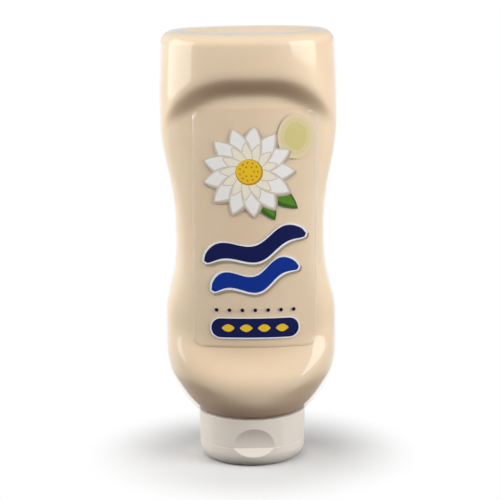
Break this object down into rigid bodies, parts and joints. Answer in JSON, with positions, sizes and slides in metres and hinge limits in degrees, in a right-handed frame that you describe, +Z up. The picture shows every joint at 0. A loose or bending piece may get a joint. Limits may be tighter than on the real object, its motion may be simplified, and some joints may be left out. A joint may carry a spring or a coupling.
{
  "type": "mayonnaise squeeze bottle",
  "caption": "Clear oval squeeze bottle of mayonnaise that stands upside down on its round flip-top cap, with a pinched waist and recessed clear-film labels.",
  "frame": {"origin": "centre of the lid's flat underside, on the surface that the bottle stands on", "axes": "+Z up through the closed end of the bottle, -Y out of the front label, +X to the right seen from the front"},
  "size_m": [0.0838, 0.0642, 0.206],
  "materials": {
    "clear_plastic": "clear glossy blown plastic",
    "mayonnaise": "smooth pale cream, slightly see-through",
    "white_cap": "white moulded plastic, satin",
    "label_film": "thin clear film, satin gloss"
  },
  "bodies": {
    "root": {"bottle": "clear_plastic", "mayonnaise": "mayonnaise", "cap_base": "white_cap", "flip_lid": "white_cap", "hinge_strap": "white_cap", "front_label": "label_film", "back_label": "label_film"}
  },
  "joints": []
}
